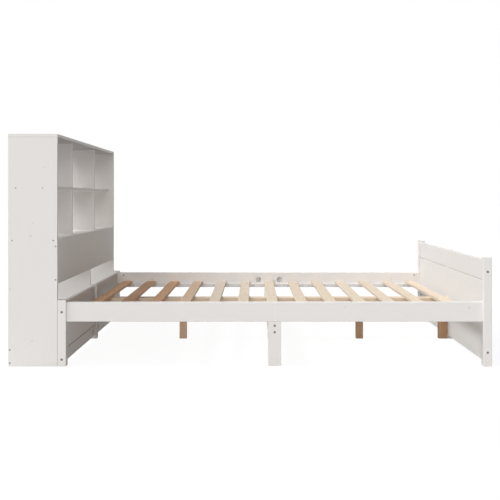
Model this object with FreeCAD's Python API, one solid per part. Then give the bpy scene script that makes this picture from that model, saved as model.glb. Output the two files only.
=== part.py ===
import FreeCAD, Part
import math
import os
from collections import defaultdict, namedtuple

# Bookcase headboard bed, in millimetres.
# +X runs from the bookcase to the foot end, +Y from the near side to the far side, +Z is up.
# The origin is the middle of the whole bed on the floor.

# ---------------------------------------------------------------- sizes of the bed frame
mattress_length = 2000.0
mattress_width = 1600.0
mattress_side_gap = 23.0
mattress_end_gap = 1.5
rail_setback = 12.0
rail_thickness = 25.0
rail_height = 95.0
underbed_clearance = 213.0
ledge_height = 23.0
ledge_width = 25.0

post_side = 41.0
head_post_height = 318.0
foot_post_height = 523.0
stile_thickness = 30.0

panel_thickness = 20.0
panel_floor_gap = 20.0
head_joint_height = 80.5
foot_joint_height = 409.0
foot_panel_top = 510.0
tongue_thickness = 6.0
tongue_height = 8.0
tongue_clearance = 0.2
groove_chamfer = 3.5

slat_count = 13
slat_width = 59.0
slat_thickness = 16.0
slat_end_space = 28.0
slat_side_clearance = 2.0
slat_seam = 1.5

mid_leg_width = 62.0
mid_leg_depth = 50.0
cross_beam_height = 70.0
centre_beam_width = 76.0
centre_leg_side = 40.0
centre_leg_spacing = 507.0
foot_end_leg_width = 50.0
cleat_length = 40.0
cleat_height = 60.0

# ---------------------------------------------------------------- sizes of the bookcase
bookcase_depth = 237.5
bookcase_height = 1116.0
side_board = 18.0
shelf_board = 16.0
cubby_height = 236.0
side_bay_width = 497.0
shelf_setback = 35.0
front_panel_height = 200.0
back_rail_height = 96.0

# ---------------------------------------------------------------- edges and fasteners
board_round = 1.5
post_round = 3.0
rail_round = 3.0
slat_round = 2.0
fit_clearance = 0.15
head_recess = 0.3
hole_end_room = 1.0

Screw = namedtuple("Screw", "head head_height shank length key")
case_screw = Screw(head=9.0, head_height=3.0, shank=5.0, length=50.0, key=4.0)
frame_bolt = Screw(head=12.0, head_height=4.0, shank=6.0, length=90.0, key=6.0)
slat_screw = Screw(head=7.0, head_height=2.5, shank=3.5, length=33.0, key=2.5)
ledge_screw = Screw(head=8.0, head_height=3.0, shank=4.0, length=42.0, key=3.0)
beam_screw = Screw(head=9.0, head_height=3.0, shank=5.0, length=80.0, key=4.0)
socket_share = 0.6

case_screw_inset = 20.0
shelf_screw_inset = 36.0
back_rail_screw_inset = 16.0
head_bolt_rise = 13.0
head_bolt_drop = 48.0
foot_bolt_rise = 46.0
foot_bolt_share = 0.44
bookcase_bolt_heights = (60.0, 160.0)
rail_bolt_drop = 18.0
barrel_nut_diameter = 10.0
barrel_nut_length = 14.0
rail_nut_inset = 30.0
leg_bolt_spacing = 31.0

pocket_diameter = 36.0
pocket_wall = 4.0
rail_pocket_offset = 70.0
head_pocket_offset = 88.0
head_pocket_drop = 29.0
rod_diameter = 6.0
rod_nut_size = 10.0
rod_nut_thickness = 5.0
rod_nut_seat = 11.5
washer_inner_radius = 16.0
washer_shift = 5.0
washer_thickness = 11.0

slat_screw_inset = 12.0
slat_screw_spread = 26.0
ledge_screw_count = 4
ledge_screw_inset = 100.0
end_leg_screw_shares = (0.2, 0.55)

dowel_diameter = 8.0
dowel_shallow = 10.0
dowel_deep = 20.0
dowel_inset = 45.0
stile_dowel_depth = 16.0
long_edge_dowel_shares = (0.15, 0.5, 0.85)
foot_post_dowel_shares = (0.45, 0.8)

# ---------------------------------------------------------------- planes worked out from them
bed_width = mattress_width + 2 * (mattress_side_gap + rail_thickness + rail_setback)
half_width = bed_width / 2
rail_outer = half_width - rail_setback
rail_inner = rail_outer - rail_thickness
rail_centre = (rail_outer + rail_inner) / 2
ledge_inner = rail_inner - ledge_width
post_inner = half_width - post_side
mid_leg_inner = rail_outer - mid_leg_depth

rail_length = mattress_length + 2 * mattress_end_gap
overall_length = bookcase_depth + rail_length + 2 * post_side
wall_x = -overall_length / 2
bookcase_front = wall_x + bookcase_depth
rail_head = bookcase_front + post_side
rail_foot = rail_head + rail_length
foot_end = rail_foot + post_side
middle_x = (rail_head + rail_foot) / 2
head_post_centre = bookcase_front + post_side / 2
foot_post_centre = rail_foot + post_side / 2
foot_panel_inner = foot_post_centre - panel_thickness / 2
foot_high_bolt = foot_joint_height + foot_bolt_share * (foot_panel_top - foot_joint_height)

rail_bottom = underbed_clearance
rail_top = rail_bottom + rail_height
slat_bottom = rail_bottom + ledge_height
slat_top = slat_bottom + slat_thickness
cross_beam_bottom = rail_bottom - cross_beam_height
cross_beam_centre = rail_bottom - cross_beam_height / 2
head_bolt_heights = (panel_floor_gap + head_bolt_rise, rail_top - head_bolt_drop)
foot_bolt_heights = (panel_floor_gap + foot_bolt_rise, foot_high_bolt)
head_pocket_heights = ((panel_floor_gap + head_joint_height) / 2, rail_top - head_pocket_drop)

case_inner = half_width - side_board
top_board_bottom = bookcase_height - shelf_board
shelf_bottom = top_board_bottom - cubby_height - shelf_board
shelf_top = shelf_bottom + shelf_board
deck_bottom = shelf_bottom - cubby_height - shelf_board
deck_top = deck_bottom + shelf_board
front_panel_bottom = deck_bottom - front_panel_height
shelf_front = bookcase_front - shelf_setback
front_panel_back = bookcase_front - side_board
back_rail_front = wall_x + side_board
divider_outer = case_inner - side_bay_width
divider_centre = divider_outer - shelf_board / 2

SIDES = (("near", -1), ("far", 1))
UP = FreeCAD.Vector(0, 0, 1)
ALONG = FreeCAD.Vector(1, 0, 0)
ACROSS = FreeCAD.Vector(0, 1, 0)

pieces = {}
holes = defaultdict(list)
hardware = defaultdict(list)


# ---------------------------------------------------------------- shapes
def point(x, y, z):
    return FreeCAD.Vector(x, y, z)


def block(x, y, z):
    """A box between two values on each axis, given in any order."""
    corner = point(min(x), min(y), min(z))
    return Part.makeBox(abs(x[1] - x[0]), abs(y[1] - y[0]), abs(z[1] - z[0]), corner)


def runs_along(edge, axis):
    run = edge.Vertexes[-1].Point - edge.Vertexes[0].Point
    return abs(abs(run.dot(axis)) - run.Length) < 1e-6


def soften(solid, radius, axis=None):
    """Round the edges that run along one axis, or all of them."""
    edges = [edge for edge in solid.Edges if axis is None or runs_along(edge, axis)]
    box = solid.BoundBox
    widest = 0.4 * min(box.XLength, box.YLength, box.ZLength)
    return solid.makeFillet(min(radius, widest), edges)


def board(x, y, z, grain, radius=board_round):
    return soften(block(x, y, z), radius, grain)


def rod(start, direction, diameter, length):
    return Part.makeCylinder(diameter / 2, length, start, direction)


def hexagon(width, height):
    """A hexagonal prism, width across its flats, standing on the origin."""
    corner = point(width / math.sqrt(3), 0, 0)
    corners = [FreeCAD.Rotation(UP, 60 * turn).multVec(corner) for turn in range(7)]
    return Part.Face(Part.makePolygon(corners)).extrude(UP * height)


def aim(solid, start, direction):
    solid.Placement = FreeCAD.Placement(start, FreeCAD.Rotation(UP, direction))
    return solid


# ---------------------------------------------------------------- fasteners and their holes
def screw_solid(screw):
    """A cap-headed screw along -Z. Its head sits just under the face at the origin."""
    head = rod(point(0, 0, -head_recess - screw.head_height), UP, screw.head, screw.head_height)
    shank = rod(point(0, 0, -screw.length), UP, screw.shank, screw.length - screw.head_height)
    socket_depth = socket_share * screw.head_height
    socket = hexagon(screw.key, socket_depth)
    socket.translate(point(0, 0, -head_recess - socket_depth))
    return head.fuse(shank).removeSplitter().cut(socket)


def screw_hole(screw):
    sink = rod(point(0, 0, -head_recess - screw.head_height), UP,
               screw.head + 2 * fit_clearance, screw.head_height + 2 * head_recess)
    depth = screw.length + hole_end_room
    bore = rod(point(0, 0, -depth), UP, screw.shank + 2 * fit_clearance, depth)
    return sink.fuse(bore)


def drive(screw, node, start, outward, through):
    """Put a screw in from a face and drill every piece that it goes through."""
    hardware[node].append(aim(screw_solid(screw), start, outward))
    for name in through:
        holes[name].append(aim(screw_hole(screw), start, outward))


def peg(middle, axis, back, forward, through):
    """A wooden dowel that reaches back and forward of the face where two pieces meet."""
    start = middle - axis * back
    hardware["wood_dowels"].append(rod(start, axis, dowel_diameter, back + forward))
    hole = rod(start - axis * hole_end_room, axis, dowel_diameter + 2 * fit_clearance,
               back + forward + 2 * hole_end_room)
    for name in through:
        holes[name].append(hole)


def barrel_nut(centre, mouth, bolt_axis, face_distance, name):
    """A round cross nut in a bore that opens at one face of a board."""
    nut = rod(centre - mouth * barrel_nut_length / 2, mouth, barrel_nut_diameter, barrel_nut_length)
    thread = rod(centre - bolt_axis * barrel_nut_diameter, bolt_axis,
                 frame_bolt.shank + 2 * fit_clearance, 2 * barrel_nut_diameter)
    hardware["barrel_nuts"].append(nut.cut(thread))
    bore = rod(centre - mouth * barrel_nut_length / 2, mouth, barrel_nut_diameter + 2 * fit_clearance,
               barrel_nut_length / 2 + face_distance + 1)
    holes[name].append(bore)


def bolt_to_nut(node, start, outward, reach, mouth, face_distance, through, name):
    """A frame bolt whose end turns into a barrel nut, reach being the depth of the nut."""
    bolt = frame_bolt._replace(length=reach + barrel_nut_diameter)
    drive(bolt, node, start, outward, through)
    barrel_nut(start - outward * reach, mouth, outward, face_distance, name)


def pocket_joint(centre, axis, offset, mouth, thickness, halves, through):
    """A threaded rod across a joint, with a crescent washer and a nut in a round pocket at each end."""
    rod_reach = offset - rod_nut_seat + 2 * rod_nut_thickness
    hardware["joint_rods"].append(rod(centre - axis * rod_reach, axis, rod_diameter, 2 * rod_reach))
    bore = rod(centre - axis * rod_reach, axis, rod_diameter + 2 * fit_clearance, 2 * rod_reach)
    for name in list(halves) + list(through):
        holes[name].append(bore)
    floor = thickness / 2 - pocket_wall
    for name, direction in zip(halves, (axis * -1, axis)):
        middle = centre + direction * offset
        pocket = rod(middle - mouth * floor, mouth, pocket_diameter, floor + thickness / 2 + 1)
        holes[name].append(pocket)
        washer_height = min(washer_thickness, floor + thickness / 2 - 1)
        low = middle - mouth * min(floor, washer_height / 2)
        washer = rod(low, mouth, pocket_diameter - 2 * fit_clearance, washer_height)
        hollow = rod(low + direction * washer_shift - mouth, mouth, 2 * washer_inner_radius,
                     washer_height + 2)
        seat = aim(block((-rod_nut_size, rod_nut_size), (-rod_nut_size, rod_nut_size),
                         (-rod_nut_seat, pocket_diameter)), middle, direction)
        hardware["crescent_washers"].append(washer.cut(hollow).cut(seat).cut(bore))
        nut = aim(hexagon(rod_nut_size, rod_nut_thickness), middle - direction * rod_nut_seat, direction)
        hardware["rod_nuts"].append(nut.cut(bore))


# ---------------------------------------------------------------- bookcase
def make_case():
    depth = (wall_x, bookcase_front)
    shelf_depth = (wall_x, shelf_front)
    inside = (-case_inner, case_inner)
    top = (top_board_bottom, bookcase_height)
    pieces["bookcase_top_board"] = board(depth, (-half_width, half_width), top, ACROSS)
    pieces["bookcase_shelf"] = board(shelf_depth, inside, (shelf_bottom, shelf_top), ACROSS)
    pieces["bookcase_deck_board"] = board(depth, inside, (deck_bottom, deck_top), ACROSS)
    pieces["bookcase_back_rail"] = board((wall_x, back_rail_front), inside, (0, back_rail_height), ACROSS)
    upright = board(depth, (-shelf_board / 2, shelf_board / 2), (0, deck_bottom), UP)
    notch = block((wall_x - 1, back_rail_front), (-shelf_board, shelf_board), (-1, back_rail_height))
    pieces["bookcase_centre_upright"] = upright.cut(notch)
    for name, side in SIDES:
        across = (side * case_inner, side * half_width)
        pieces["bookcase_side_" + name] = board(depth, across, (0, top_board_bottom), UP)
        panel_across = (side * shelf_board / 2, side * case_inner)
        panel_up = (front_panel_bottom, deck_bottom)
        front = (front_panel_back, bookcase_front)
        pieces["front_panel_" + name] = board(front, panel_across, panel_up, ACROSS)
        divider = (side * divider_outer, side * (divider_outer - shelf_board))
        upper = (shelf_top, top_board_bottom)
        lower = (deck_top, shelf_bottom)
        pieces["divider_upper_" + name] = board(shelf_depth, divider, upper, UP)
        pieces["divider_lower_" + name] = board(shelf_depth, divider, lower, UP)


def fix_case():
    """Screws through the sides, dowels everywhere else."""
    front_board_x = bookcase_front - side_board / 2
    back_board_x = wall_x + side_board / 2
    for name, side in SIDES:
        case_side = "bookcase_side_" + name
        outward = ACROSS * side

        def screw_at(x, z, board_name):
            drive(case_screw, "case_screws", point(x, side * half_width, z), outward,
                  (case_side, board_name))

        for x in (wall_x + shelf_screw_inset, shelf_front - shelf_screw_inset):
            screw_at(x, (shelf_bottom + shelf_top) / 2, "bookcase_shelf")
        for x in (wall_x + case_screw_inset, bookcase_front - case_screw_inset):
            screw_at(x, (deck_bottom + deck_top) / 2, "bookcase_deck_board")
        for z in (front_panel_bottom + case_screw_inset, deck_bottom - case_screw_inset):
            screw_at(front_board_x, z, "front_panel_" + name)
        for z in (back_rail_screw_inset, back_rail_height - back_rail_screw_inset):
            screw_at(back_board_x, z, "bookcase_back_rail")

        side_y = side * (half_width - side_board / 2)
        for x in (wall_x + dowel_inset, bookcase_front - dowel_inset):
            peg(point(x, side_y, top_board_bottom), UP, dowel_deep, dowel_shallow,
                (case_side, "bookcase_top_board"))
        for x in (wall_x + dowel_inset, shelf_front - dowel_inset):
            y = side * divider_centre
            upper = "divider_upper_" + name
            lower = "divider_lower_" + name
            peg(point(x, y, top_board_bottom), UP, dowel_deep, dowel_shallow,
                (upper, "bookcase_top_board"))
            peg(point(x, y, shelf_bottom), UP, dowel_deep, shelf_board + dowel_deep,
                (lower, upper, "bookcase_shelf"))
            peg(point(x, y, deck_top), UP, dowel_shallow, dowel_deep, (lower, "bookcase_deck_board"))
        panel_name = "front_panel_" + name
        for share in long_edge_dowel_shares:
            y = side * (shelf_board / 2 + share * (case_inner - shelf_board / 2))
            peg(point(front_board_x, y, deck_bottom), UP, dowel_deep, dowel_shallow,
                (panel_name, "bookcase_deck_board"))

    upright = "bookcase_centre_upright"
    for x in (wall_x + dowel_inset, bookcase_front - dowel_inset):
        peg(point(x, 0, deck_bottom), UP, dowel_deep, dowel_shallow, (upright, "bookcase_deck_board"))
    for z in (front_panel_bottom + dowel_inset, deck_bottom - dowel_inset):
        reach = shelf_board / 2 + dowel_deep
        peg(point(front_board_x, 0, z), ACROSS, reach, reach, (upright, "front_panel_near", "front_panel_far"))


# ---------------------------------------------------------------- end panels
def panel_profile(centre_x, low, high, tongue_up, groove_down):
    """The end of one board of a panel: chamfered where it meets its neighbour, tongue or groove in the middle."""
    half = panel_thickness / 2
    tongue = tongue_thickness / 2
    groove = tongue + tongue_clearance
    chamfer = groove_chamfer
    outline = []
    if groove_down:
        depth = tongue_height + 2 * tongue_clearance
        outline += [(-half, low + chamfer), (-half + chamfer, low), (-groove, low), (-groove, low + depth),
                    (groove, low + depth), (groove, low), (half - chamfer, low), (half, low + chamfer)]
    else:
        outline += [(-half, low), (half, low)]
    if tongue_up:
        tip = high + tongue_height
        outline += [(half, high - chamfer), (half - chamfer, high), (tongue, high), (tongue, tip),
                    (-tongue, tip), (-tongue, high), (-half + chamfer, high), (-half, high - chamfer)]
    else:
        outline += [(half, high), (-half, high)]
    corners = [point(centre_x + x, 0, z) for x, z in outline]
    return Part.Face(Part.makePolygon(corners + corners[:1]))


def panel_board(centre_x, across, low, high, tongue_up=False, groove_down=False):
    face = panel_profile(centre_x, low, high, tongue_up, groove_down)
    start = min(across)
    solid = face.extrude(ACROSS * (max(across) - start))
    solid.translate(ACROSS * start)
    free = high if groove_down else low
    edges = [edge for edge in solid.Edges
             if runs_along(edge, ACROSS) and abs(edge.CenterOfMass.z - free) < 1e-6]
    return solid.makeFillet(board_round, edges)


def make_ends():
    head_top = rail_top
    for name, side in SIDES:
        corner = (side * post_inner, side * half_width)
        head_x = (bookcase_front, rail_head)
        foot_x = (rail_foot, foot_end)
        pieces["head_post_" + name] = soften(block(head_x, corner, (0, head_post_height)), post_round)
        pieces["foot_post_" + name] = soften(block(foot_x, corner, (0, foot_post_height)), post_round)
        across = (side * post_side / 2, side * post_inner)
        pieces["head_bottom_board_" + name] = panel_board(
            head_post_centre, across, panel_floor_gap, head_joint_height, tongue_up=True)
        pieces["head_panel_" + name] = panel_board(
            head_post_centre, across, head_joint_height, head_top, groove_down=True)
        pieces["foot_panel_" + name] = panel_board(
            foot_post_centre, across, panel_floor_gap, foot_joint_height, tongue_up=True)
        pieces["foot_top_board_" + name] = panel_board(
            foot_post_centre, across, foot_joint_height, foot_panel_top, groove_down=True)
    middle = (-post_side / 2, post_side / 2)
    pieces["head_centre_post"] = soften(block((bookcase_front, rail_head), middle, (0, head_top)), post_round)
    stile_x = (foot_panel_inner, foot_panel_inner + stile_thickness)
    pieces["foot_centre_stile"] = board(stile_x, middle, (0, foot_panel_top), UP)


def fix_ends():
    """Bolts through the corner posts, rods through the head post, dowels at the foot stile."""
    nut_depth = post_side + rail_nut_inset
    for name, side in SIDES:
        outward = ACROSS * side
        ends = (("head", head_post_centre, ALONG * -1, head_bolt_heights, head_joint_height,
                 "head_bottom_board_", "head_panel_"),
                ("foot", foot_post_centre, ALONG, foot_bolt_heights, foot_joint_height,
                 "foot_panel_", "foot_top_board_"))
        for end, centre_x, mouth, heights, joint, lower, upper in ends:
            post = end + "_post_" + name
            for z in heights:
                panel = (upper if z > joint else lower) + name
                bolt_to_nut("panel_bolts", point(centre_x, side * half_width, z), outward, nut_depth,
                            mouth, panel_thickness / 2, (post, panel), panel)
        head_panel = "head_panel_" + name
        z = (head_joint_height + head_bolt_heights[1]) / 2
        peg(point(head_post_centre, side * post_inner, z), outward, dowel_deep, dowel_deep,
            (head_panel, "head_post_" + name))
        foot_panel = "foot_panel_" + name
        foot_top = "foot_top_board_" + name
        panel_height = foot_joint_height - panel_floor_gap
        for share in foot_post_dowel_shares:
            z = panel_floor_gap + share * panel_height
            peg(point(foot_post_centre, side * post_inner, z), outward, dowel_deep, dowel_deep,
                (foot_panel, "foot_post_" + name))
        stile_face = side * post_side / 2
        for share in long_edge_dowel_shares:
            z = panel_floor_gap + share * panel_height
            peg(point(foot_post_centre, stile_face, z), outward, stile_dowel_depth, dowel_deep,
                (foot_panel, "foot_centre_stile"))
        z = (foot_joint_height + tongue_height + foot_panel_top) / 2
        peg(point(foot_post_centre, stile_face, z), outward, stile_dowel_depth, dowel_deep,
            (foot_top, "foot_centre_stile"))
        for z in bookcase_bolt_heights:
            y = side * (half_width - side_board / 2)
            case_side = "bookcase_side_" + name
            bolt_to_nut("bookcase_bolts", point(rail_head, y, z), ALONG, nut_depth, outward * -1,
                        side_board / 2, ("head_post_" + name, case_side), case_side)
    for z, boards in zip(head_pocket_heights, ("head_bottom_board_", "head_panel_")):
        offset = head_pocket_offset
        pocket_joint(point(head_post_centre, 0, z), ACROSS, offset, ALONG, panel_thickness,
                     (boards + "near", boards + "far"), ("head_centre_post",))


# ---------------------------------------------------------------- side rails and legs
def make_sides():
    halves = (("head", (rail_head, middle_x)), ("foot", (middle_x, rail_foot)))
    leg_x = (middle_x - mid_leg_width / 2, middle_x + mid_leg_width / 2)
    for name, side in SIDES:
        for half, along in halves:
            rail_across = (side * rail_inner, side * rail_outer)
            rail = board(along, rail_across, (rail_bottom, rail_top), ALONG, rail_round)
            pieces["side_rail_{}_{}".format(name, half)] = rail
            ledge_across = (side * ledge_inner, side * rail_inner)
            ledge = board(along, ledge_across, (rail_bottom, slat_bottom), ALONG)
            pieces["slat_ledge_{}_{}".format(name, half)] = ledge
        leg = block(leg_x, (side * mid_leg_inner, side * rail_outer), (0, rail_bottom))
        pieces["mid_leg_" + name] = soften(leg, board_round)
    beam_across = (-mid_leg_inner, mid_leg_inner)
    pieces["cross_beam"] = board(leg_x, beam_across, (cross_beam_bottom, rail_bottom), ACROSS)


def make_centre():
    across = (-centre_beam_width / 2, centre_beam_width / 2)
    beam_up = (rail_bottom, slat_bottom)
    pieces["centre_beam_head"] = board((rail_head, middle_x), across, beam_up, ALONG)
    pieces["centre_beam_foot"] = board((middle_x, foot_panel_inner), across, beam_up, ALONG)
    half_leg = centre_leg_side / 2
    leg_across = (-half_leg, half_leg)
    legs = (("centre_leg_head", middle_x - centre_leg_spacing, rail_bottom),
            ("centre_leg_middle", middle_x, cross_beam_bottom),
            ("centre_leg_foot", middle_x + centre_leg_spacing, rail_bottom))
    for name, x, top in legs:
        pieces[name] = soften(block((x - half_leg, x + half_leg), leg_across, (0, top)), board_round)
    end_leg_x = (foot_panel_inner - foot_end_leg_width, foot_panel_inner)
    pieces["foot_end_leg"] = soften(block(end_leg_x, leg_across, (0, rail_bottom)), board_round)
    cleat_x = (rail_head, rail_head + cleat_length)
    cleat_up = (rail_bottom - cleat_height, rail_bottom)
    pieces["beam_cleat"] = soften(block(cleat_x, across, cleat_up), board_round)


def fix_sides():
    for name, side in SIDES:
        outward = ACROSS * side
        mouth = outward * -1
        rails = ["side_rail_{}_{}".format(name, half) for half in ("head", "foot")]
        ledges = ["slat_ledge_{}_{}".format(name, half) for half in ("head", "foot")]
        rail_y = side * rail_centre
        rail_middle_z = (rail_bottom + rail_top) / 2
        pocket_joint(point(middle_x, rail_y, rail_middle_z), ALONG, rail_pocket_offset, mouth,
                     rail_thickness, rails, ())
        for z in (rail_bottom + dowel_deep, rail_top - dowel_deep):
            peg(point(middle_x, rail_y, z), ALONG, dowel_deep, dowel_deep, rails)

        ends = (("head_post_", bookcase_front, rail_head, ALONG * -1, rails[0]),
                ("foot_post_", foot_end, rail_foot, ALONG, rails[1]))
        for post, outer_x, joint_x, face, rail in ends:
            bolt_to_nut("rail_bolts", point(outer_x, rail_y, rail_top - rail_bolt_drop), face,
                        post_side + rail_nut_inset, mouth, rail_thickness / 2, (post + name, rail), rail)
            peg(point(joint_x, rail_y, rail_bottom + dowel_deep), ALONG, dowel_deep, dowel_deep,
                (post + name, rail))

        half_length = rail_length / 2
        pitch = (half_length - 2 * ledge_screw_inset) / (ledge_screw_count - 1)
        for half, (rail, ledge) in enumerate(zip(rails, ledges)):
            start = rail_head + half * half_length + ledge_screw_inset
            for step in range(ledge_screw_count):
                place = point(start + step * pitch, side * ledge_inner, rail_bottom + ledge_height / 2)
                drive(ledge_screw, "ledge_screws", place, mouth, (ledge, rail))

        leg = "mid_leg_" + name
        for shift in (-leg_bolt_spacing / 2, leg_bolt_spacing / 2):
            place = point(middle_x, side * rail_outer, cross_beam_centre + shift)
            bolt_to_nut("leg_bolts", place, outward, mid_leg_depth + rail_nut_inset, ALONG * -1,
                        mid_leg_width / 2, (leg, "cross_beam"), "cross_beam")
        for shift, rail in zip((-mid_leg_width / 4, mid_leg_width / 4), rails):
            peg(point(middle_x + shift, rail_y, rail_bottom), UP, dowel_deep, dowel_shallow, (leg, rail))


def fix_centre():
    """Long screws down through the beam, screws through the cleat, one dowel under the cross beam."""
    def screw_down(x, y, beam, support):
        drive(beam_screw, "beam_screws", point(x, y, slat_bottom), UP, (beam, support))

    spread = centre_leg_side / 4
    for sign, half in ((-1, "head"), (1, "foot")):
        beam = "centre_beam_" + half
        for shift in (-spread, spread):
            screw_down(middle_x + sign * centre_leg_spacing, shift, beam, "centre_leg_" + half)
            screw_down(middle_x + sign * mid_leg_width / 4, shift * 2, beam, "cross_beam")
    screw_down(rail_head + cleat_length / 2, 0, "centre_beam_head", "beam_cleat")
    screw_down(foot_panel_inner - foot_end_leg_width / 2, 0, "centre_beam_foot", "foot_end_leg")

    for shift in (-spread, spread):
        place = point(rail_head + cleat_length, shift, rail_bottom - cleat_height / 2)
        drive(case_screw._replace(length=cleat_length + dowel_deep), "beam_screws", place, ALONG,
              ("beam_cleat", "head_centre_post"))
    for share in end_leg_screw_shares:
        place = point(foot_panel_inner - foot_end_leg_width, 0, share * rail_bottom)
        drive(beam_screw._replace(length=foot_end_leg_width + dowel_deep), "beam_screws", place,
              ALONG * -1, ("foot_end_leg", "foot_centre_stile"))
    peg(point(middle_x, 0, cross_beam_bottom), UP, dowel_deep, dowel_deep,
        ("centre_leg_middle", "cross_beam"))


# ---------------------------------------------------------------- slats
def slat_starts():
    pitch = (rail_length - 2 * slat_end_space - slat_width) / (slat_count - 1)
    return [rail_head + slat_end_space + pitch * step for step in range(slat_count)]


def carrier(kind, x):
    """The half of a beam or ledge that lies under a place along the bed."""
    return kind + ("head" if x < middle_x else "foot")


def make_slats():
    """Each slat is two half slats that meet over the centre beam and lie on the ledges."""
    for name, side in SIDES:
        inner_end = slat_seam / 2
        outer_end = rail_inner - slat_side_clearance
        group = []
        for start in slat_starts():
            slat = board((start, start + slat_width), (side * inner_end, side * outer_end),
                         (slat_bottom, slat_top), ACROSS, slat_round)
            centre = start + slat_width / 2
            places = [(centre + shift, slat_screw_inset + inner_end, "centre_beam_")
                      for shift in (-slat_screw_spread / 2, slat_screw_spread / 2)]
            places.append((centre + slat_screw_spread / 2, rail_inner - ledge_width / 2,
                           "slat_ledge_{}_".format(name)))
            for x, y, kind in places:
                place = point(x, side * y, slat_top)
                drive(slat_screw, "slat_screws", place, UP, (carrier(kind, x),))
                slat = slat.cut(aim(screw_hole(slat_screw), place, UP))
            group.append(slat)
        pieces["slats_" + name] = Part.makeCompound(group)


# ---------------------------------------------------------------- build
def finished(name):
    """A piece with every hole that its fasteners need."""
    solid = pieces[name]
    if holes[name]:
        solid = solid.cut(holes[name])
    return solid


def build():
    make_case()
    make_ends()
    make_sides()
    make_centre()
    fix_case()
    fix_ends()
    fix_sides()
    fix_centre()
    make_slats()
    shapes = {name: finished(name) for name in pieces}
    for name, solids in hardware.items():
        shapes[name] = Part.makeCompound(solids)
    os.makedirs("parts", exist_ok=True)
    for name, shape in shapes.items():
        shape.exportStep("parts/{}.step".format(name))
        print("{:28s} {:3d} solids".format(name, len(shape.Solids)))
    print(len(shapes), "nodes")


build()
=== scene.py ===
# %% [markdown]
# # A bookcase headboard bed in whitewashed pine
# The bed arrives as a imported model: every board, leg, slat and screw is a node that already has its
# true shape and place. The lesson leaves those shapes alone and gives each one a finish: whitewashed
# pine with its grain and knots, bare pine for the slats and the legs under them, beech dowels and
# zinc screws. Then come the floor, the light and the camera.

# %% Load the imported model
import math
import random

import bmesh
import bpy
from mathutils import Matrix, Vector


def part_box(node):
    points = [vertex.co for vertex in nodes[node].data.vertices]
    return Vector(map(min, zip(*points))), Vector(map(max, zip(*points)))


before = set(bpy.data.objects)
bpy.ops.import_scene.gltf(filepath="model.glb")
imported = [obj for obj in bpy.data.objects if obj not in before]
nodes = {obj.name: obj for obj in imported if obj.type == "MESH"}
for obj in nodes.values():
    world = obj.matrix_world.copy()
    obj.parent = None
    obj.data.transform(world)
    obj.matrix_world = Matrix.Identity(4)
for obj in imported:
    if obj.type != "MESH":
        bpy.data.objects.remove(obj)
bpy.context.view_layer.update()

# %% [markdown]
# ## Shader maths as plain expressions
# A wood pattern is mostly arithmetic on the place of a point in a board. One way is to wire Math
# nodes by hand, which nobody can read back later. Here a small class wraps the output of a node, so
# that a + b or 1 - mask adds the Math node by itself. Every other node, such as a noise or a colour
# mix, comes from one method, add.


# %% A value that Python can calculate with
class Value:
    """One output of a shader node. Sums and products on it add Math nodes."""

    def __init__(self, recipe, node, output=0):
        self.recipe = recipe
        self.node = node
        self.output = output

    def of(self, output):
        """Another output of the same node."""
        return Value(self.recipe, self.node, output)

    def math(self, operation, *inputs):
        return self.recipe.add("ShaderNodeMath", {"operation": operation}, dict(enumerate(inputs)))

    def __add__(self, other):
        return self.math("ADD", self, other)

    def __radd__(self, other):
        return self.math("ADD", other, self)

    def __sub__(self, other):
        return self.math("SUBTRACT", self, other)

    def __rsub__(self, other):
        return self.math("SUBTRACT", other, self)

    def __mul__(self, other):
        return self.math("MULTIPLY", self, other)

    def __rmul__(self, other):
        return self.math("MULTIPLY", other, self)

    def __truediv__(self, other):
        return self.math("DIVIDE", self, other)

    def __rtruediv__(self, other):
        return self.math("DIVIDE", other, self)

    def __pow__(self, other):
        return self.math("POWER", self, other)

    def least(self, other):
        return self.math("MINIMUM", self, other)

    def most(self, other):
        return self.math("MAXIMUM", self, other)

    def floor(self):
        return self.math("FLOOR", self)

    def fraction(self):
        return self.math("FRACT", self)

    def clamped(self):
        return self.recipe.add("ShaderNodeClamp", {}, {"Value": self})


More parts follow.
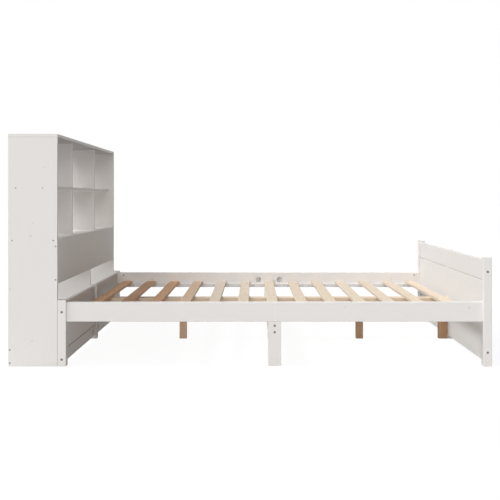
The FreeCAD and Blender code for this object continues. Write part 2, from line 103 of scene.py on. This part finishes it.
# %% A recipe that adds nodes
class Recipe:
    """The node tree of a material or of the world while it is being written."""

    def __init__(self, owner):
        owner.use_nodes = True
        self.owner = owner
        self.tree = owner.node_tree
        self.tree.nodes.clear()

    def add(self, kind, settings, inputs):
        """A node: its settings first, then a value or a link for each socket, by name or number."""
        node = self.tree.nodes.new(kind)
        for name, setting in settings.items():
            setattr(node, name, setting)
        for name, given in inputs.items():
            if isinstance(given, Value):
                self.tree.links.new(given.node.outputs[given.output], node.inputs[name])
            else:
                node.inputs[name].default_value = given
        return Value(self, node)

    def mix(self, first, second, share):
        """One colour that turns into another as share goes from 0 to 1."""
        factor, colour_a, colour_b, colour_out = 0, 6, 7, 2
        mixed = self.add("ShaderNodeMix", {"data_type": "RGBA"},
                         {factor: share, colour_a: first, colour_b: second})
        return mixed.of(colour_out)

    def vector(self, x, y, z):
        return self.add("ShaderNodeCombineXYZ", {}, {"X": x, "Y": y, "Z": z})

    def noise(self, x, y, z, detail):
        """A cloudy number from 0 to 1, whose lumps are about one unit across."""
        return self.add("ShaderNodeTexNoise", {}, {"Vector": self.vector(x, y, z), "Scale": 1.0,
                                                   "Detail": detail})

    def place(self):
        """The three coordinates of a point of the object, in metres."""
        coordinates = self.add("ShaderNodeTexCoord", {}, {})
        parts = self.add("ShaderNodeSeparateXYZ", {}, {"Vector": coordinates.of("Object")})
        return [parts.of(axis) for axis in "XYZ"]

    def surface(self, tint, roughness, metallic, height, relief):
        """The shader that ends a finish. Height goes from 0 to 1, and 1 is relief metres high."""
        bump = self.add("ShaderNodeBump", {},
                        {"Height": height, "Strength": 1.0, "Distance": relief})
        shader = self.add("ShaderNodeBsdfPrincipled", {}, {
            "Base Color": tint, "Roughness": roughness, "Metallic": metallic, "Normal": bump})
        self.add("ShaderNodeOutputMaterial", {}, {"Surface": shader})
        return self.owner


def new_finish(name):
    return Recipe(bpy.data.materials.new(name))


def colour(red, green, blue):
    """A colour as a screen shows it, from 0 to 255, turned into the amounts of light behind it."""
    shares = [part / 255 for part in (red, green, blue)]
    linear = [share / 12.92 if share < 0.04045 else ((share + 0.055) / 1.055) ** 2.4
              for share in shares]
    return (*linear, 1.0)


print("middle grey", [round(part, 3) for part in colour(128, 128, 128)])

# %% [markdown]
# ## How a board is cut from a tree
# A tree grows in rings around its pith. A board is a slice beside the pith, so its rings show as long
# lines on the face, as arches where the trunk tapers, and as arcs on the end. A flat wood picture
# can't do that, because it doesn't go on round the corner. So the grain is made in three dimensions:
# every point of the board asks how far it is from the pith, and that distance decides between pale
# early wood and darker late wood. Wide panels are glued from staves, so each stave asks again with
# its own pith.

# %% [markdown]
# ## Knots
# Knots are branches that run through the board, and the rings swing out round them. Most boards take
# theirs from a Voronoi pattern, which scatters points at about one to a cell and gives each a number
# of its own. Where a board shows its knots plainly, they have a list instead: the place along the
# grain, the place across it and the radius, in metres.

# %% Where the knots show
PLAIN_KNOTS = {
    "bookcase_side_near": [(0.626, -1.053, 0.0075), (0.122, -1.046, 0.0055), (0.690, -1.042, 0.0045),
                           (0.372, -1.151, 0.0050), (0.955, -0.987, 0.0040)],
    "side_rail_near_foot": [(1.0547, 0.2805, 0.0070), (0.4570, 0.2840, 0.0045),
                            (0.7580, 0.2450, 0.0035)],
    "side_rail_near_head": [(-0.5210, 0.2400, 0.0012), (-0.1460, 0.2860, 0.0010)],
}
KNOTS_PER_METRE = 4.2
CLEAR_SHARE = 0.45
RADIUS_SPREAD = 0.018


def scattered_knots(recipe, along, wide):
    """Distance to the nearest knot, and its radius, which is 0 for almost half of them."""
    cells = recipe.add("ShaderNodeTexVoronoi", {"voronoi_dimensions": "2D"},
                       {"Vector": recipe.vector(along, wide, 0.0), "Scale": KNOTS_PER_METRE})
    chance = recipe.add("ShaderNodeSeparateColor", {}, {"Color": cells.of("Color")})
    return cells.of("Distance") / KNOTS_PER_METRE, ((chance - CLEAR_SHARE) * RADIUS_SPREAD).most(0.0)


def listed_knots(along, wide, places):
    """The same two numbers for knots at known places."""
    distance, radius = None, None
    for knot_along, knot_wide, knot_radius in places:
        this = ((along - knot_along) ** 2.0 + (wide - knot_wide) ** 2.0) ** 0.5
        if distance is None:
            distance, radius = this, this * 0.0 + knot_radius
        else:
            nearer = this.math("LESS_THAN", this, distance)
            radius = radius + nearer * (knot_radius - radius)
            distance = distance.least(this)
    return distance, radius


print("boards with listed knots", len(PLAIN_KNOTS))

# %% [markdown]
# ## The pattern inside a board
# The numbers below are what a tree really does: rings about 4 mm apart, a trunk that sways by a
# centimetre or two and tapers slowly, fibres a millimetre thick and many centimetres long. The same
# pattern also says where sandpaper has rounded the arrises of a board and worn its coat thin; the
# lighter coat there is partly a painted highlight.

# %% Worn arrises
LEAST_WEAR = 0.0012
RAGGED_WEAR = 0.003


def wear_and_highlight(axes, board, cloud):
    """1 on the arrises of a board and 0 a few millimetres away, with a ragged limit. It marks a worn
    coat and a painted highlight.
    """
    inward = [(axis - low).least(high - axis)
              for axis, low, high in zip(axes, board["low"], board["high"])]
    first, second, third = inward
    to_edge = first.least(second).most(first.most(second).least(third))
    return (1.0 - to_edge / (LEAST_WEAR + cloud * RAGGED_WEAR)).clamped()


print("arrises worn back by", LEAST_WEAR, "to", LEAST_WEAR + RAGGED_WEAR, "m")

# %% [markdown]
# ## Joints between boards
# Where two boards meet, a fine line stays open, and in a V groove the light hardly reaches the
# bottom. Such a shade is thinner than a soft light can draw, so it is painted into the coat as a grey
# line. The list gives the start of a board's name, the axis across the joint, the side of the board,
# how far in the joint sits, how wide the line is and how strong its painted shade grey is. The lower
# board of a V groove has a tongue that hides in the upper one, so its line sits lower by the tongue.

# %% Where joints show
ALONG_BED, UPRIGHT = 0, 2
TONGUE = 0.008
# boards whose joints get a painted shade line
SHADED_SEAMS = [("foot_top_board", UPRIGHT, "low", 0.0, 0.0045, 0.4),
         ("foot_panel", UPRIGHT, "high", TONGUE, 0.0045, 0.4),
         ("head_panel", UPRIGHT, "low", 0.0, 0.0035, 0.6),
         ("head_bottom_board", UPRIGHT, "high", TONGUE, 0.0035, 0.6),
         ("bookcase_side", ALONG_BED, "high", 0.0, 0.0022, 0.3),
         ("head_post", ALONG_BED, "low", 0.0, 0.0022, 0.3),
         ("bookcase_top_board", UPRIGHT, "low", 0.0, 0.0025, 0.7)]


def seam_shade_of(axes, board):
    """Painted shade in a joint: 1 in the joint with the next board and 0 a little way from it."""
    for start, axis, side, inset, reach, strength in SHADED_SEAMS:
        if board["name"].startswith(start):
            from_side = (axes[axis] - board["low"][axis] if side == "low"
                         else board["high"][axis] - axes[axis])
            return (1.0 - (from_side - inset) / reach).clamped() * strength
    return 0.0


print("kinds of board with a joint line", len(SHADED_SEAMS))

# %% Rings and fibres
RING = 0.0042
TAPER = 0.006
SWAY = 0.022
SWAYS_ALONG, SWAYS_ACROSS = 1.6, 9.0
LEAN = 0.07
LATE_END = 0.93
KNOT_RIM = 0.0016
FAINT_KNOT = 0.003
KNOT_REACH = 0.016
KNOT_SWING = 1.3
KNOT_RING = 0.0022
FIBRES_ALONG, FIBRES_ACROSS = 14.0, 900.0
CLOUDS_ALONG, CLOUDS_ACROSS = 3.0, 22.0
STAVE_SHIFT = 20.0


def pattern_of(recipe, board):
    """Numbers over a board: late wood, fibres, knots, the stave's own tone, clouds, ripeness with
    painted shade, worn arrises with a painted highlight and joints with painted shade. All go from 0
    to 1, except that ripeness with painted shade goes up to 2."""
    axes = recipe.place()
    along, wide, deep = (axes[board[run]] for run in ("grain", "width", "depth"))
    stave = ((wide - board["first_stave"]) / board["stave"]).floor()
    chance = recipe.add("ShaderNodeTexWhiteNoise", {"noise_dimensions": "1D"},
                        {"W": stave + board["seed"]})
    chances = recipe.add("ShaderNodeSeparateColor", {}, {"Color": chance.of("Color")})
    shift, lean, tone = (chances.of(part) for part in ("Red", "Green", "Blue"))
    far = along + shift * STAVE_SHIFT + board["seed"]

    if board["name"] in PLAIN_KNOTS:
        distance, radius = listed_knots(along, wide, PLAIN_KNOTS[board["name"]])
    else:
        distance, radius = scattered_knots(recipe, far, wide + shift)
    knot = ((radius - distance) / KNOT_RIM + 0.5).clamped() * (radius / FAINT_KNOT).clamped()
    swing = radius / (1.0 + (distance / KNOT_REACH) ** 2.0)

    stave_middle = (stave + 0.5) * board["stave"]
    from_middle = wide - board["first_stave"] - stave_middle + (lean - 0.5) * LEAN
    from_pith = deep - board["pith"]
    sway = recipe.noise(far * SWAYS_ALONG, wide * SWAYS_ACROSS, deep * SWAYS_ACROSS, 2.0)
    growth = ((from_middle ** 2.0 + from_pith ** 2.0) ** 0.5 + far * TAPER + (sway - 0.5) * SWAY
              + swing * KNOT_SWING)
    ring = (growth / RING).fraction()
    late = ring ** 3.0 * (1.0 - ((ring - LATE_END) / (1.0 - LATE_END)).clamped())
    eye = (distance / KNOT_RING).fraction() ** 2.0

    fibres = recipe.noise(far * FIBRES_ALONG, wide * FIBRES_ACROSS, deep * FIBRES_ACROSS, 2.0)
    cloud = recipe.noise(far * CLOUDS_ALONG, wide * CLOUDS_ACROSS, deep * CLOUDS_ACROSS, 3.0)
    # painted shade: after the last shaded slat each slat is a step less orange, so the slats by the
    # bookcase stay darker
    ripe_and_shade = (board["ripe_and_shade"] - (stave - board["last_shaded"]).most(0.0) * board["shade_fade"]).most(0.0)
    return {"late": late * (1.0 - knot) + eye * knot, "fibres": fibres, "knot": knot, "tone": tone,
            "cloud": cloud, "ripe_and_shade": ripe_and_shade, "wear_and_highlight": wear_and_highlight(axes, board, cloud),
            "seam_shade": seam_shade_of(axes, board)}


print("ring", RING, "m")

# %% [markdown]
# ## Bare pine and whitewashed pine
# The slats, the middle beam and its legs are bare planed pine. Pine isn't one colour: sapwood near
# the bark is pale and heartwood is orange. A third, brown pair of colours is painted shade for the
# parts that stand in shade under the bed. So there are three pairs of colours, each for early and
# late wood, and a board's number picks between them: up to 1 its ripeness, above 1 painted shade.
#
# The other boards are pine under a thin white stain. It covers the wood, but the late wood drinks
# less of it, knots grin through a little, and the arrises are sanded back to a lighter line, which is
# also a painted highlight. A flat white would look like plastic. So the bare wood is made first, and
# the white coat is laid over it with a thickness that follows the grain. The joints get a painted
# shade grey.

# %% Bare pine
EARLY_PINE = colour(221, 206, 187)
LATE_PINE = colour(209, 183, 153)
EARLY_HEART = colour(236, 187, 145)
LATE_HEART = colour(200, 143, 100)
EARLY_SHADE_BROWN = colour(172, 137, 106)
LATE_SHADE_BROWN = colour(140, 101, 72)
KNOT_PINE = colour(126, 88, 62)
BARE_RELIEF = 0.0002


def bare_colour(recipe, pattern):
    """Pine without a coat. Ripeness is 0 for sapwood and 1 for heartwood; towards 2 it turns into a
    painted shade brown.
    """
    fibre_tone = (pattern["fibres"] - 0.45) * 0.5
    share = (pattern["late"] * 0.75 + pattern["tone"] * 0.25 + fibre_tone).clamped()
    sapwood = recipe.mix(EARLY_PINE, LATE_PINE, share)
    heartwood = recipe.mix(EARLY_HEART, LATE_HEART, share)
    wood = recipe.mix(sapwood, heartwood, pattern["ripe_and_shade"])
    # painted shade: above 1 the wood turns brown, for the parts in shade under the bed
    shade_brown = recipe.mix(EARLY_SHADE_BROWN, LATE_SHADE_BROWN, share)
    wood = recipe.mix(wood, shade_brown, pattern["ripe_and_shade"] - 1.0)
    return recipe.mix(wood, KNOT_PINE, pattern["knot"] * 0.85)


def bare_pine(name, board):
    recipe = new_finish(name)
    pattern = pattern_of(recipe, board)
    wood = bare_colour(recipe, pattern)
    # the arrises turn lighter: worn wood and a painted highlight
    wood = recipe.mix(wood, EARLY_PINE, pattern["wear_and_highlight"] * 0.2)
    roughness = 0.62 + pattern["fibres"] * 0.16 - pattern["late"] * 0.08
    height = pattern["fibres"] * 0.7 + pattern["late"] * 0.6 - pattern["knot"] * 0.4
    return recipe.surface(wood, roughness, 0.0, height, BARE_RELIEF)


print("early sapwood", [round(part, 3) for part in EARLY_PINE])

# %% Whitewashed pine
WHITE_STAIN = colour(228, 224, 221)
WORN_AND_HIGHLIGHT_STAIN = colour(234, 230, 226)
# the grey of the painted shade in the joints
SEAM_SHADE_GREY = colour(120, 116, 112)
FULL_COAT = 0.985
COAT_RELIEF = 0.00012


def whitewashed_pine(name, board):
    recipe = new_finish(name)
    pattern = pattern_of(recipe, board)
    wood = bare_colour(recipe, pattern)
    between_fibres = (pattern["fibres"] - 0.4).most(0.0)
    thin = pattern["late"] * 0.03 + pattern["knot"] * 0.12 + between_fibres * 0.10
    patchy = (pattern["cloud"] - 0.4).most(0.0) * 0.08 + pattern["tone"] * 0.02
    # the arrises get a lighter stain: a worn coat and a painted highlight
    stain = recipe.mix(WHITE_STAIN, WORN_AND_HIGHLIGHT_STAIN, pattern["wear_and_highlight"])
    coat = recipe.mix(wood, stain, (FULL_COAT - thin - patchy).clamped())
    # painted shade: a grey line in the joints between boards
    coat = recipe.mix(coat, SEAM_SHADE_GREY, pattern["seam_shade"])
    roughness = 0.52 + pattern["fibres"] * 0.12 - pattern["knot"] * 0.08
    height = pattern["fibres"] * 0.5 + pattern["late"] * 0.5 - pattern["knot"] * 0.6
    return recipe.surface(coat, roughness, 0.0, height, COAT_RELIEF)


print("the stain covers", FULL_COAT)

# %% [markdown]
# ## Which way the grain runs
# A joiner lets the grain run along the longest side of a piece, because wood is strong that way. So
# the box of a node tells its grain, its width and its thickness. Only the slats need help: their node
# holds thirteen half slats side by side, so there the grain runs across the bed and each slat counts
# as a stave of its own. The slats also carry painted shade: the three by the bookcase, which lie in
# its shade, are painted orange heartwood, and the fourth leads over to the pale ones.

# %% Measure every board
BARE = ("slats", "centre_beam", "centre_leg", "foot_end_leg", "beam_cleat")
# ripeness of the bare parts; the legs and the cleat under the slats are set darker as painted shade,
# above 1 towards brown, and the slats' orange is painted shade by the bookcase
RIPENESS_AND_SHADE = {"slats": 1.0, "centre_leg_head": 0.5, "centre_leg_middle": 1.3, "centre_leg_foot": 2.0,
        "foot_end_leg": 1.7, "centre_beam": 0.15, "beam_cleat": 1.2}
METAL = ("case_screws", "panel_bolts", "barrel_nuts", "bookcase_bolts", "joint_rods",
         "crescent_washers", "rod_nuts", "rail_bolts", "ledge_screws", "leg_bolts", "beam_screws",
         "slat_screws")
DOWELS = "wood_dowels"
SLAT_COUNT = 13
SLAT_WIDTH = 0.059
# painted shade by the bookcase: the first slats are orange heartwood, and then it fades slat by slat
LAST_SHADED_SLAT = 2.0
SHADE_FADE_BY_SLAT = 0.55
STAVE_WIDTH = 0.068
NEAREST_PITH, FARTHEST_PITH = 0.02, 0.06
chance_of = random.Random(11)


def measure_board(name):
    low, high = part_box(name)
    depth, width, grain = sorted(range(3), key=lambda axis: high[axis] - low[axis])
    stave = high[width] - low[width]
    if stave > 2 * STAVE_WIDTH:
        stave /= round(stave / STAVE_WIDTH)
    first = low[width]
    shade_fade = 0.0
    if name.startswith("slats"):
        shade_fade = SHADE_FADE_BY_SLAT
        width, grain = grain, width
        stave = (high[width] - low[width] - SLAT_WIDTH) / (SLAT_COUNT - 1)
        first = low[width] + SLAT_WIDTH / 2 - stave / 2
    middle = (low[depth] + high[depth]) / 2
    ripe_and_shade = next((share for start, share in RIPENESS_AND_SHADE.items() if name.startswith(start)), 0.0)
    return {"name": name, "low": low, "high": high, "grain": grain, "width": width, "depth": depth,
            "stave": stave, "first_stave": first,
            "pith": middle - chance_of.uniform(NEAREST_PITH, FARTHEST_PITH),
            "seed": float(chance_of.randrange(100)), "ripe_and_shade": ripe_and_shade, "last_shaded": LAST_SHADED_SLAT,
            "shade_fade": shade_fade}


boards = [measure_board(name) for name in sorted(nodes) if name not in METAL and name != DOWELS]
for axis, word in enumerate(("along the bed", "across the bed", "upright")):
    print("grain", word, sum(board["grain"] == axis for board in boards))


# %% Dress every board
def dress(name, material):
    for slot in nodes[name].material_slots:
        slot.material = material


for board in boards:
    make = bare_pine if board["name"].startswith(BARE) else whitewashed_pine
    dress(board["name"], make(board["name"] + "_finish", board))
print("dressed", len(boards))

# %% [markdown]
# ## Screws and dowels
# The bed is held by flush screws and by bolts with hexagon sockets, all plated with dull zinc. The
# bolts are darker than the screws, so there are two platings, each with an even, a cloudy and a worn
# tone. Plating isn't a mirror: it has a fine cloudy grain and rubbed spots, so its roughness and tone
# drift over a few millimetres. The beech dowels sit inside the joints and hardly ever show, but beech
# is easy to tell from pine: it has no rings to speak of, only small darker flecks.

# %% Zinc
DARK_PLATE = (colour(96, 95, 93), colour(130, 128, 125), colour(74, 73, 72))
PALE_PLATE = (colour(130, 128, 125), colour(170, 168, 164), colour(104, 102, 98))
PLATE_RELIEF = 0.00004


def dull_zinc(name, plating):
    even, cloudy, worn = plating
    recipe = new_finish(name)
    x, y, z = recipe.place()
    cloud = recipe.noise(x * 420.0, y * 420.0, z * 420.0, 4.0)
    rubbed = recipe.noise(x * 2700.0, y * 2700.0, z * 540.0, 2.0)
    plate = recipe.mix(even, cloudy, cloud)
    plate = recipe.mix(plate, worn, ((rubbed - 0.55) * 3.0).clamped())
    return recipe.surface(plate, 0.34 + cloud * 0.2, 1.0, rubbed, PLATE_RELIEF)


dark_zinc = dull_zinc("dark_zinc", DARK_PLATE)
pale_zinc = dull_zinc("pale_zinc", PALE_PLATE)
for name in METAL:
    dress(name, dark_zinc if name.endswith("bolts") else pale_zinc)
print("metal nodes", len(METAL))

# %% Beech
EARLY_BEECH = colour(222, 190, 150)
LATE_BEECH = colour(196, 158, 118)
BEECH_FLECK = colour(150, 108, 74)
BEECH_RELIEF = 0.0001


def bare_beech(name):
    recipe = new_finish(name)
    x, y, z = recipe.place()
    cloud = recipe.noise(x * 60.0, y * 60.0, z * 60.0, 3.0)
    flecks = recipe.noise(x * 900.0, y * 900.0, z * 900.0, 1.0)
    wood = recipe.mix(EARLY_BEECH, LATE_BEECH, cloud)
    wood = recipe.mix(wood, BEECH_FLECK, ((flecks - 0.6) * 5.0).clamped())
    return recipe.surface(wood, 0.6 + flecks * 0.1, 0.0, flecks, BEECH_RELIEF)


dress(DOWELS, bare_beech("bare_beech"))
print("dressed", DOWELS)

# %% [markdown]
# ## Floor and backdrop
# The bed stands on a white floor in front of a white backdrop. The whiteness is only for the camera
# and for reflections: if the room were that bright, every shadow would fill up and the white boards
# would burn out. So the camera sees white, while the boards see a dimmer room. The floor keeps a
# share of its plain diffuse shader, so the bed's shadow still falls on it.

# %% Floor
FLOOR_SIDE = 120.0
FLOOR_GREY = 0.6
SHADOW_SHARE = 0.12
FLOOR_LIT = 1.08


def seen_directly(recipe):
    """1 for rays that come from the camera, or by way of metal or glass."""
    path = recipe.add("ShaderNodeLightPath", {}, {})
    mirrored = path.of("Is Glossy Ray").most(path.of("Is Transmission Ray"))
    return path.of("Is Camera Ray").most(mirrored)


def make_floor():
    mesh = bpy.data.meshes.new("studio_floor")
    shape = bmesh.new()
    bmesh.ops.create_grid(shape, x_segments=1, y_segments=1, size=FLOOR_SIDE / 2)
    shape.to_mesh(mesh)
    shape.free()
    floor = bpy.data.objects.new("studio_floor", mesh)
    bpy.context.scene.collection.objects.link(floor)
    return floor


def floor_finish():
    recipe = new_finish("floor_finish")
    grey = (FLOOR_GREY, FLOOR_GREY, FLOOR_GREY, 1.0)
    plain = recipe.add("ShaderNodeBsdfDiffuse", {}, {"Color": grey})
    white = recipe.add("ShaderNodeEmission", {}, {"Strength": FLOOR_LIT})
    shown = recipe.add("ShaderNodeMixShader", {}, {0: SHADOW_SHARE, 1: white, 2: plain})
    either = recipe.add("ShaderNodeMixShader", {}, {0: seen_directly(recipe), 1: plain, 2: shown})
    recipe.add("ShaderNodeOutputMaterial", {}, {"Surface": either})
    return recipe.owner


floor = make_floor()
floor.data.materials.append(floor_finish())
print("floor", FLOOR_SIDE, "m square")

# %% World
ROOM_LEVEL = 0.085


def make_world():
    world = bpy.data.worlds.new("soft_room")
    bpy.context.scene.world = world
    recipe = Recipe(world)
    white = (1.0, 1.0, 1.0, 1.0)
    room = recipe.add("ShaderNodeBackground", {}, {"Color": white, "Strength": ROOM_LEVEL})
    backdrop = recipe.add("ShaderNodeBackground", {}, {"Color": white, "Strength": 1.0})
    either = recipe.add("ShaderNodeMixShader", {}, {0: seen_directly(recipe), 1: room, 2: backdrop})
    recipe.add("ShaderNodeOutputWorld", {}, {"Surface": either})


make_world()
print("room level", ROOM_LEVEL)

# %% [markdown]
# ## Lamps
# The light in the picture comes mostly from high up beyond the bookcase: it shines through the open
# back, so the cubbies are pale at the bottom and grey at the top, the front panels stay in shade and
# the foot end is the brightest face. It is slightly cool, like a window. Two weaker lights stand
# behind the camera and beside it. Near lamps would fade along the two metres of the bed, so these are
# distant lamps, and a wide angle gives them the soft shadows of a big window. The list gives each
# lamp's turn, its rise, its level, its softness and its tint.

# %% Lamps
COOL = (0.94, 0.975, 1.0)
PLAIN = (1.0, 1.0, 1.0)
LAMPS = {"beyond_bookcase": (90, 54, 0.98, 34, COOL),
         "beside_camera": (45, 32, 0.2, 40, PLAIN),
         "behind_camera": (0, 14, 0.418, 30, PLAIN)}


def make_lamp(name, turn, rise, level, softness, tint):
    """A distant lamp. Turn 0 shines from the camera's side and 90 from the bookcase's, rise is its
    angle above the floor, and a level of 1 shows a white face square to the lamp as white."""
    data = bpy.data.lights.new(name, "SUN")
    data.energy = level * math.pi
    data.angle = math.radians(softness)
    data.color = tint
    round_bed, up = math.radians(turn), math.radians(rise)
    ray = Vector((math.sin(round_bed) * math.cos(up), math.cos(round_bed) * math.cos(up),
                  -math.sin(up)))
    lamp = bpy.data.objects.new(name, data)
    lamp.rotation_euler = ray.to_track_quat("-Z", "Y").to_euler()
    bpy.context.scene.collection.objects.link(lamp)


for name, (turn, rise, level, softness, tint) in LAMPS.items():
    make_lamp(name, turn, rise, level, softness, tint)
print("lamps", len(LAMPS))

# %% [markdown]
# ## Camera
# The picture is taken square on to the long side of the bed: all lines that run along the bed stay
# level, and only the depth runs to a vanishing point. Tilting the camera down would make the posts
# lean. So it looks level, and its lens is shifted down to bring the bed into the middle.

# %% Camera
CAMERA_PLACE = (0.0187, -5.127, 0.813)
LENS = 64.05
SENSOR = 36.0
SHIFT = (-0.0078, -0.106)


def make_camera():
    data = bpy.data.cameras.new("camera")
    data.lens = LENS
    data.sensor_width = SENSOR
    data.shift_x, data.shift_y = SHIFT
    data.clip_end = 2 * FLOOR_SIDE
    camera = bpy.data.objects.new("camera", data)
    camera.location = CAMERA_PLACE
    camera.rotation_euler = Vector((0.0, 1.0, 0.0)).to_track_quat("-Z", "Y").to_euler()
    bpy.context.scene.collection.objects.link(camera)
    bpy.context.scene.camera = camera


make_camera()
bpy.context.scene.view_settings.view_transform = "Standard"
print("camera", CAMERA_PLACE)
